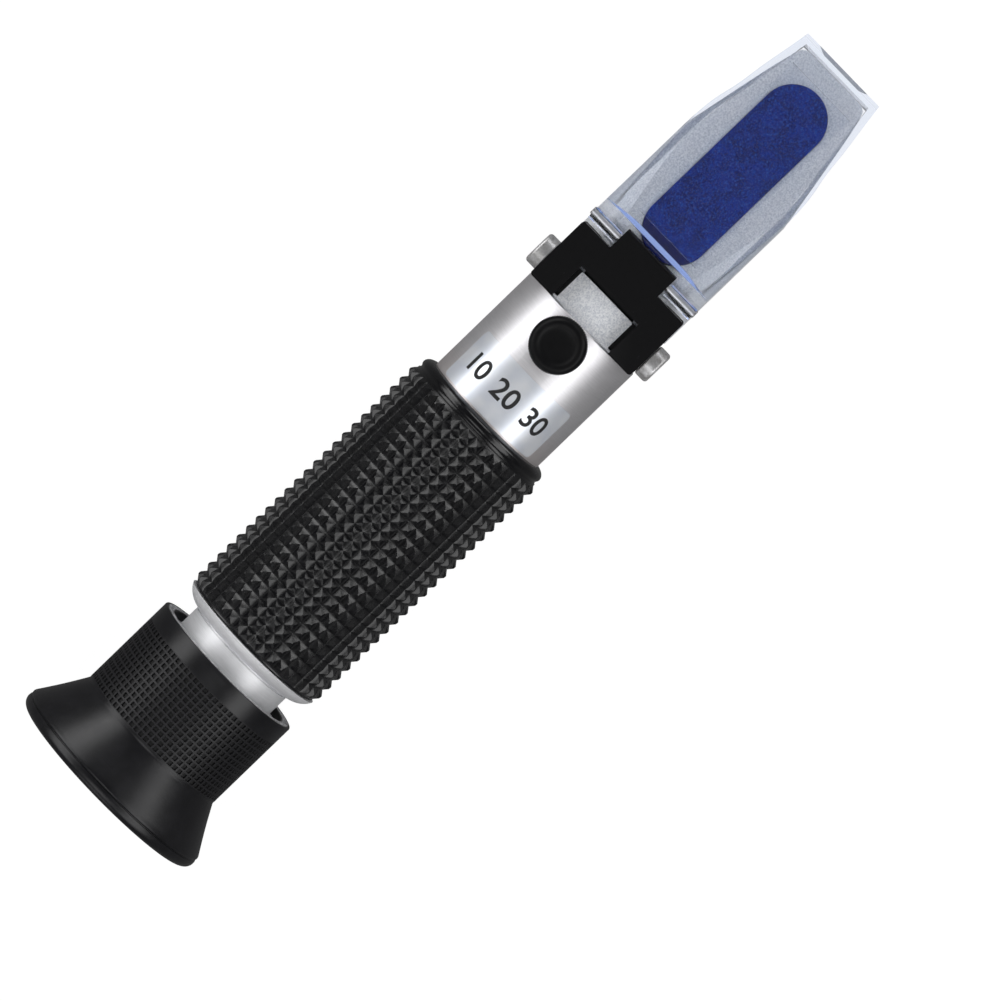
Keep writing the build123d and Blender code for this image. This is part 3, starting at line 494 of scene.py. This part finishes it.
# ------------------------------------------------------------------ calibration cap
CAL_X = 20.80
N = 216
phi = np.arange(N) * 2 * math.pi / N
serr = np.where(np.arange(N) % 3 == 0, -0.085, 0.0)
top = [(0.0, 14.27), (1.2, 14.27), (2.2, 14.28), (2.75, 14.31), (3.05, 14.38), (3.28, 14.48), (3.50, 14.56),
       (3.75, 14.595), (4.00, 14.57), (4.25, 14.48), (4.48, 14.31), (4.66, 14.08), (4.78, 13.80)]
rows = []
for r, zz in top[1:]:
    rows.append((np.full(N, r), np.full(N, zz)))
rows.append((4.90 + serr, np.full(N, 13.66)))
rows.append((4.92 + serr, np.full(N, 13.40)))
for r_out, tt in ((4.92, 0.5), (4.92, 1.0)):
    rr = r_out + serr
    zb = np.sqrt(12.10 ** 2 - (rr * np.sin(phi)) ** 2) + 0.01
    rows.append((rr, 13.40 * (1 - tt) + zb * tt))
for r in (4.6, 3.7, 2.78):
    rows.append((np.full(N, r), np.sqrt(12.10 ** 2 - (r * np.sin(phi)) ** 2) + 0.01))
rows.append((np.full(N, 2.78), np.full(N, 13.10)))
rows.append((np.full(N, 1.2), np.full(N, 13.10)))
vs = []
for rr, zz in rows:
    vs.append(np.stack([CAL_X + rr * np.cos(phi), rr * np.sin(phi), zz], -1))
verts = np.vstack(vs)
faces = ring_faces(len(rows), N, close_rows=False)
c0 = len(verts)
verts = np.vstack([verts, [[CAL_X, 0, 14.27], [CAL_X, 0, 13.10]]])
faces = [tuple(reversed(f)) for f in faces]
faces += [(c0, j, (j + 1) % N) for j in range(N)]
b0 = (len(rows) - 1) * N
faces += [(c0 + 1, b0 + (j + 1) % N, b0 + j) for j in range(N)]
piece("dished_rubber_cap", verts, faces, mat_cap, "cap", ("calibration_cap",), sharp=35)

# ------------------------------------------------------------------ label
LX0, LX1, LA, LR0, LR1, LC = 3.70, 13.90, 55.0, 12.012, 12.11, 0.95
half = math.radians(LA) * LR1
s = np.concatenate([np.linspace(-half, -half + LC, 9)[:-1], np.linspace(-half + LC, half - LC, 61),
                    np.linspace(half - LC, half, 9)[1:]])
edge = np.clip(half - np.abs(s), 0, LC)
cut = LC - np.sqrt(np.maximum(LC ** 2 - (LC - edge) ** 2, 0))
nx = 7
verts, faces = [], []
for r in (LR1, LR0):
    for i, si in enumerate(s):
        a = si / LR1
        for j in range(nx):
            xx = LX0 + cut[i] + (LX1 - LX0 - 2 * cut[i]) * j / (nx - 1)
            verts.append((xx, -r * math.sin(a), r * math.cos(a)))
S = len(s) * nx
for i in range(len(s) - 1):
    for j in range(nx - 1):
        a = i * nx + j
        faces.append((a, a + nx, a + nx + 1, a + 1))
        faces.append((S + a, S + a + 1, S + a + nx + 1, S + a + nx))
    faces.append((i * nx, S + i * nx, S + (i + 1) * nx, (i + 1) * nx))
    e = i * nx + nx - 1
    faces.append((e, e + nx, S + e + nx, S + e))
for j in range(nx - 1):
    faces.append((j, j + 1, S + j + 1, S + j))
    e = (len(s) - 1) * nx + j
    faces.append((e, S + e, S + e + 1, e + 1))
ob = piece("printed_label", verts, faces, mat_label, "root", ("scale_label",), sharp=40)
bm = bmesh.new(); bm.from_mesh(ob.data)
bmesh.ops.recalc_face_normals(bm, faces=bm.faces); bm.to_mesh(ob.data); bm.free()


def numerals(name, text, size, place, body, mat, thick=0.02, cell_size=0.5, bold=0.0):
    """Raised figures: flat text outlines, cut fine enough to bend, then put in place by place(u, v, t)."""
    cu = bpy.data.curves.new(name + "_c", "FONT")
    cu.body = text
    cu.size = size
    cu.align_x = "CENTER"
    cu.align_y = "CENTER"
    cu.offset = bold
    cu.resolution_u = 6
    tmp = bpy.data.objects.new(name + "_c", cu)
    scene.collection.objects.link(tmp)
    dg = bpy.context.evaluated_depsgraph_get()
    me = bpy.data.meshes.new_from_object(tmp.evaluated_get(dg))
    bpy.data.objects.remove(tmp)
    bm = bmesh.new()
    bm.from_mesh(me)
    bmesh.ops.remove_doubles(bm, verts=bm.verts, dist=1e-5)
    for axis, lo, hi in ((0, -6.0, 6.0), (1, -4.0, 4.0)):
        v = lo
        while v < hi:
            no = [0, 0, 0]; no[axis] = 1
            co = [0, 0, 0]; co[axis] = v
            bmesh.ops.bisect_plane(bm, geom=bm.verts[:] + bm.edges[:] + bm.faces[:], plane_co=co, plane_no=no)
            v += cell_size
    bmesh.ops.triangulate(bm, faces=bm.faces)
    low = list(bm.faces)
    ret = bmesh.ops.extrude_face_region(bm, geom=low)
    for v in [g for g in ret["geom"] if isinstance(g, bmesh.types.BMVert)]:
        v.co.z += thick
    bmesh.ops.recalc_face_normals(bm, faces=bm.faces)
    for v in bm.verts:
        v.co = Vector(place(v.co.x, v.co.y, v.co.z)) * MM
    out = bpy.data.meshes.new(name)
    bm.to_mesh(out)
    bm.free()
    out.materials.append(mat)
    ob = bpy.data.objects.new(name, out)
    scene.collection.objects.link(ob)
    bm = bmesh.new(); bm.from_mesh(out)
    bmesh.ops.recalc_face_normals(bm, faces=bm.faces); bm.to_mesh(out); bm.free()
    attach(ob, body)
    return ob


def on_label(angle_deg, xc):
    def place(u, v, t):
        a = math.radians(angle_deg) + u / 12.11
        r = 12.11 + t
        return (xc + v, -r * math.sin(a), r * math.cos(a))
    return place


for i, (text, deg) in enumerate((("10", -34.0), ("20", -1.0), ("30", 32.0))):
    numerals("label_figure_%d" % i, text, 5.1, on_label(deg, 8.7), "root", mat_ink, bold=0.085)

# ------------------------------------------------------------------ carried CAD pieces
finish = {
    "focus_barrel": mat_barrel, "lens_holder": mat_black, "eye_lens_ring": mat_black,
    "eye_lens": mat_lens, "lens_spacer": mat_black, "field_lens": mat_lens, "focus_o_ring": mat_seal,
    "rear_collar": mat_bright, "reticle": mat_reticle, "reticle_ring": mat_brass, "main_tube": mat_tube,
    "light_baffle": mat_black, "strip_bracket": mat_tube, "bracket_screws": mat_screw,
    "bimetal_strip": mat_spring, "lens_cell": mat_brass, "cell_rivets": mat_brass,
    "objective_lens": mat_lens, "objective_ring": mat_brass, "calibration_bushing": mat_brass,
    "calibration_screw": mat_brass, "prism_seat": mat_head, "head_seal_ring": mat_seal,
    "prism": mat_prism, "hinge_block": mat_hinge, "side_screws": mat_screw, "hinge_pin": mat_steel,
    "daylight_plate": mat_plate,
}
for node, mat in finish.items():
    ob = NODES[node]
    if not ob.material_slots:
        ob.data.materials.append(mat)
    for slot in ob.material_slots:
        slot.material = mat



def eased(node, name, body, width, segs, angle=35.0, sharp=34.0, edit=None):
    """The same solid with its triangles merged into whole faces and its corners eased."""
    src = NODES[node]
    bm = bmesh.new()
    bm.from_mesh(src.data)
    bmesh.ops.remove_doubles(bm, verts=bm.verts, dist=2e-6)
    bmesh.ops.dissolve_degenerate(bm, edges=bm.edges, dist=1e-6)
    bmesh.ops.dissolve_limit(bm, angle_limit=math.radians(0.8), verts=bm.verts, edges=bm.edges)
    if edit:
        edit(bm)
    bm.normal_update()
    edges = [e for e in bm.edges if len(e.link_faces) == 2 and e.calc_face_angle(0.0) > math.radians(angle)
             and e.calc_length() > 1.2e-4]
    bmesh.ops.bevel(bm, geom=edges, offset=width * MM, offset_type="OFFSET", segments=segs, profile=0.5,
                    affect="EDGES", clamp_overlap=True, loop_slide=True, miter_outer="ARC")
    bmesh.ops.remove_doubles(bm, verts=bm.verts, dist=1e-6)
    bmesh.ops.recalc_face_normals(bm, faces=bm.faces)
    me = bpy.data.meshes.new(name)
    bm.to_mesh(me)
    bm.free()
    me.validate()
    me.materials.append(finish[node])
    me.polygons.foreach_set("use_smooth", [True] * len(me.polygons))
    me.polygons.foreach_set("material_index", [0] * len(me.polygons))
    me.set_sharp_from_angle(angle=math.radians(sharp))
    ob = bpy.data.objects.new(name, me)
    scene.collection.objects.link(ob)
    even = ob.modifiers.new("even_faces", "WEIGHTED_NORMAL")
    even.mode = "FACE_AREA_WITH_ANGLE"
    even.weight = 100
    even.keep_sharp = True
    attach(ob, body)
    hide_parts(node)
    return ob


def drafted_rear(bm):
    """Lean the rear edge of the plate forwards, so the wall between its ears has the draft of a moulding."""
    for v in bm.verts:
        dx, dz = v.co.x - SEAT[0], v.co.z - SEAT[2]
        hh, uu = dx * SA + dz * CA, dx * CA - dz * SA
        if abs(hh - 0.00270) < 3e-5 and abs(uu - 0.00135) < 4e-5 and abs(v.co.y) < 0.0062:
            v.co.x += 0.00085 * CA
            v.co.z -= 0.00085 * SA


eased("hinge_block", "hinge_yoke", "root", 0.10, 2)
eased("prism_seat", "prism_head", "root", 0.07, 2)
eased("daylight_plate", "clear_cover", "cover", 0.09, 2, edit=drafted_rear)
eased("prism", "blue_prism", "root", 0.12, 3)
eased("side_screws", "slotted_side_screws", "root", 0.30, 3)
eased("hinge_pin", "steel_hinge_pin", "root", 0.12, 2)

# ------------------------------------------------------------------ stage
T = Vector((-4.98, -11.77, 0)) * MM
cam_data = bpy.data.cameras.new("camera")
cam_data.sensor_width = 36.0
cam_data.lens = 342.9
cam_data.clip_start = 0.01
cam_data.clip_end = 20.0
cam = bpy.data.objects.new("camera", cam_data)
loc = T + Vector((135.1, -6.6, 1583.0)) * MM
zc = (loc - T).normalized()
up = Vector((0.6959, 0.7181, 0.0))
xc = up.cross(zc).normalized()
yc = zc.cross(xc).normalized()
cam.matrix_world = Matrix((
    (xc.x, yc.x, zc.x, loc.x), (xc.y, yc.y, zc.y, loc.y), (xc.z, yc.z, zc.z, loc.z), (0, 0, 0, 1)))
scene.collection.objects.link(cam)
scene.camera = cam


def stage_nodes(mat):
    mat.use_nodes = True
    nt = mat.node_tree
    nt.nodes.clear()
    return nt


# pale table, leaning with the line from the eyecup rim to the head
fl = bpy.data.meshes.new("table")
size = 1500.0
fl.from_pydata([((x) * MM, (y) * MM, (-19.72 + (x + 84.4) * 0.0532) * MM)
                for x, y in ((-size, -size), (size, -size), (size, size), (-size, size))], [], [(0, 1, 2, 3)])
table = bpy.data.objects.new("table", fl)
scene.collection.objects.link(table)
mt = bpy.data.materials.new("table_white")
nt = stage_nodes(mt)
out = nt.nodes.new("ShaderNodeOutputMaterial")
dif = nt.nodes.new("ShaderNodeBsdfDiffuse"); dif.inputs[0].default_value = (0.07, 0.07, 0.07, 1)
emi = nt.nodes.new("ShaderNodeEmission"); emi.inputs[0].default_value = (1, 1, 1, 1)
tra = nt.nodes.new("ShaderNodeBsdfTransparent")
add = nt.nodes.new("ShaderNodeAddShader")
mix = nt.nodes.new("ShaderNodeMixShader")
lp = nt.nodes.new("ShaderNodeLightPath")
geo = nt.nodes.new("ShaderNodeNewGeometry")
st = nt.nodes.new("ShaderNodeMapRange")
st.inputs["From Min"].default_value = 0
st.inputs["From Max"].default_value = 1
st.inputs["To Min"].default_value = 0.08
st.inputs["To Max"].default_value = 0.97
mx = nt.nodes.new("ShaderNodeMath"); mx.operation = "MAXIMUM"
nt.links.new(lp.outputs["Is Camera Ray"], mx.inputs[0])
nt.links.new(lp.outputs["Is Transmission Ray"], mx.inputs[1])
nt.links.new(mx.outputs[0], st.inputs["Value"])
nt.links.new(st.outputs[0], emi.inputs["Strength"])
nt.links.new(dif.outputs[0], add.inputs[0])
nt.links.new(emi.outputs[0], add.inputs[1])
nt.links.new(geo.outputs["Backfacing"], mix.inputs[0])
nt.links.new(add.outputs[0], mix.inputs[1])
nt.links.new(tra.outputs[0], mix.inputs[2])
nt.links.new(mix.outputs[0], out.inputs[0])
fl.materials.append(mt)

world = bpy.data.worlds.new("studio")
scene.world = world
world.use_nodes = True
nt = world.node_tree
nt.nodes.clear()
out = nt.nodes.new("ShaderNodeOutputWorld")
bg = nt.nodes.new("ShaderNodeBackground")
bg.inputs["Color"].default_value = (1, 1, 1, 1)
lp = nt.nodes.new("ShaderNodeLightPath")
st = nt.nodes.new("ShaderNodeMapRange")
st.inputs["To Min"].default_value = 0.07
st.inputs["To Max"].default_value = 1.0
thru = nt.nodes.new("ShaderNodeMath"); thru.operation = "MULTIPLY"
thru.inputs[1].default_value = 0.31
mx = nt.nodes.new("ShaderNodeMath"); mx.operation = "MAXIMUM"
nt.links.new(lp.outputs["Is Transmission Ray"], thru.inputs[0])
nt.links.new(lp.outputs["Is Camera Ray"], mx.inputs[0])
nt.links.new(thru.outputs[0], mx.inputs[1])
nt.links.new(mx.outputs[0], st.inputs["Value"])
nt.links.new(st.outputs[0], bg.inputs["Strength"])
nt.links.new(bg.outputs[0], out.inputs[0])


def softbox(name, toward, dist, width, length, radiance, x_mid=0.0):
    """A soft light seen in the direction toward from the part, its long side as near X as it can lie."""
    li = bpy.data.lights.new(name, "AREA")
    li.shape = "RECTANGLE"
    li.size = length * MM
    li.size_y = width * MM
    li.energy = radiance * math.pi * (width * MM) * (length * MM)
    z = Vector(toward).normalized()
    ob = bpy.data.objects.new(name, li)
    p = z * dist * MM + Vector((x_mid * MM, 0, 0))
    x = Vector((1, 0, 0)) if abs(z.x) < 0.5 else Vector((-z.y, z.x, 0))
    x = (x - z * x.dot(z)).normalized()
    y = z.cross(x)
    ob.matrix_world = Matrix(((x.x, y.x, z.x, p.x), (x.y, y.y, z.y, p.y), (x.z, y.z, z.z, p.z), (0, 0, 0, 1)))
    scene.collection.objects.link(ob)
    return ob


def across(deg):
    """Direction deg from +Z towards -Y."""
    return (0.0, -math.sin(math.radians(deg)), math.cos(math.radians(deg)))


softbox("softbox_left", across(-58.0), 620.0, 320.0, 1300.0, 2.8)
softbox("softbox_right", across(48.0), 620.0, 300.0, 1300.0, 2.6)
softbox("overhead", across(2.0), 1900.0, 420.0, 700.0, 0.30, x_mid=-260.0)
softbox("front_left", (0.70, 0.64, 0.13), 900.0, 360.0, 300.0, 3.6)
softbox("front_right", (0.76, -0.56, 0.15), 900.0, 360.0, 300.0, 3.6)
softbox("front_low", (0.970, 0.02, 0.242), 900.0, 200.0, 420.0, 3.4)
softbox("rear_low", (-0.970, 0.02, 0.242), 900.0, 230.0, 420.0, 1.7)
softbox("rear_high", (-0.52, 0.0, 0.854), 900.0, 450.0, 450.0, 1.8)

scene.view_settings.view_transform = "Standard"
scene.view_settings.look = "None"
scene.cycles.max_bounces = 16
scene.cycles.transmission_bounces = 14
scene.cycles.transparent_max_bounces = 12
scene.cycles.glossy_bounces = 6
scene.cycles.diffuse_bounces = 3
scene.cycles.caustics_refractive = True
scene.cycles.sample_clamp_indirect = 6.0
